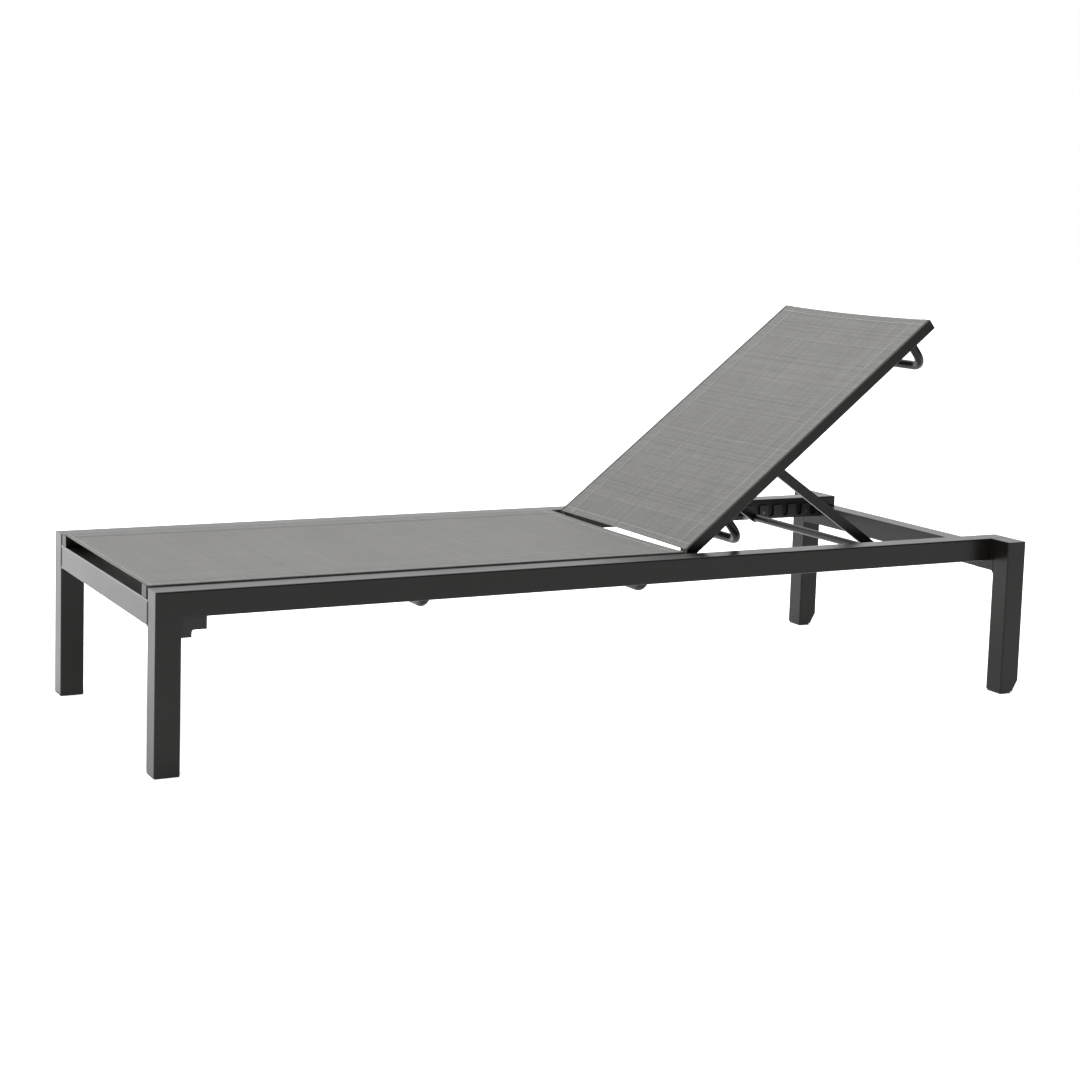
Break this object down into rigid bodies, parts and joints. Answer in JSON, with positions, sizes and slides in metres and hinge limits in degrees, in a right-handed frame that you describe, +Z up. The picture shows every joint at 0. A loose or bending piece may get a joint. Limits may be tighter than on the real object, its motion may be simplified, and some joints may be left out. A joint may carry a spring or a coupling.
{
  "type": "reclining sun lounger",
  "caption": "Low reclining sun lounger: rectangular tube frame, tight mesh slings, hinged backrest held by a swinging prop in toothed racks.",
  "frame": {"origin": "on the floor, under the middle of the frame", "axes": "+X towards the head end, +Y across, +Z up; the lounger is the same on both sides of Y = 0"},
  "size_m": [2, 0.83, 0.8397],
  "materials": {
    "frame_paint": "satin anthracite powder coat",
    "sling_fabric": "heathered grey woven mesh",
    "edge_cord": "extruded cord",
    "black_plastic": "moulded, fine grain",
    "stainless_steel": "satin",
    "nylon": "moulded nylon",
    "cast_lug": "satin powder coat"
  },
  "bodies": {
    "frame": {"side_rail_left": "frame_paint", "side_rail_right": "frame_paint", "foot_leg_left": "frame_paint", "foot_leg_right": "frame_paint", "foot_cross_rail": "frame_paint", "head_leg_left": "frame_paint", "head_leg_right": "frame_paint", "head_leg_block_left": "frame_paint", "head_leg_block_right": "frame_paint", "head_cross_rail": "frame_paint", "rail_end_caps": "frame_paint", "head_leg_caps": "frame_paint", "foot_glides": "black_plastic", "head_foot_pads": "black_plastic", "stacking_bracket_left": "black_plastic", "stacking_bracket_right": "black_plastic", "ratchet_rack_left": "black_plastic", "ratchet_rack_right": "black_plastic", "rack_screws": "stainless_steel", "seat_track_left": "frame_paint", "seat_track_right": "frame_paint", "seat_track_caps": "black_plastic", "seat_edge_cord_left": "edge_cord", "seat_edge_cord_right": "edge_cord", "track_spacers": "frame_paint", "seat_sling": "sling_fabric", "seat_spreader_foot": "frame_paint", "seat_spreader_middle": "frame_paint", "pivot_bolts": "stainless_steel", "pivot_nuts": "stainless_steel", "pivot_spacers": "nylon"},
    "backrest": {"backrest_tube_left": "frame_paint", "backrest_tube_right": "frame_paint", "backrest_tube_caps": "black_plastic", "backrest_edge_cord_left": "edge_cord", "backrest_edge_cord_right": "edge_cord", "backrest_sling": "sling_fabric", "backrest_spreader_lower": "frame_paint", "backrest_spreader_upper": "frame_paint", "hinge_lug_left": "cast_lug", "hinge_lug_right": "cast_lug", "hinge_bushes": "nylon", "prop_pivot_bolts": "stainless_steel", "prop_pivot_nuts": "stainless_steel"},
    "prop": {"prop_strut_left": "frame_paint", "prop_strut_right": "frame_paint", "prop_cross_bar": "frame_paint", "prop_bar_ends": "black_plastic", "prop_washers": "nylon"}
  },
  "joints": [
    {"name": "backrest_recline", "type": "hinge", "parent": "frame", "child": "backrest", "pos_m": [0.19006, 0, 0.322], "axis": [0, -1, 0], "range_deg": [-38.2, 13.4]},
    {"name": "prop_swing", "type": "hinge", "parent": "backrest", "child": "prop", "pos_m": [0.4152, 0, 0.51698], "axis": [0, -1, 0], "range_deg": [-25, 70]}
  ],
  "couplings": [
    {"joint": "prop_swing", "follows": "backrest_recline", "ratio": -1.804}
  ]
}
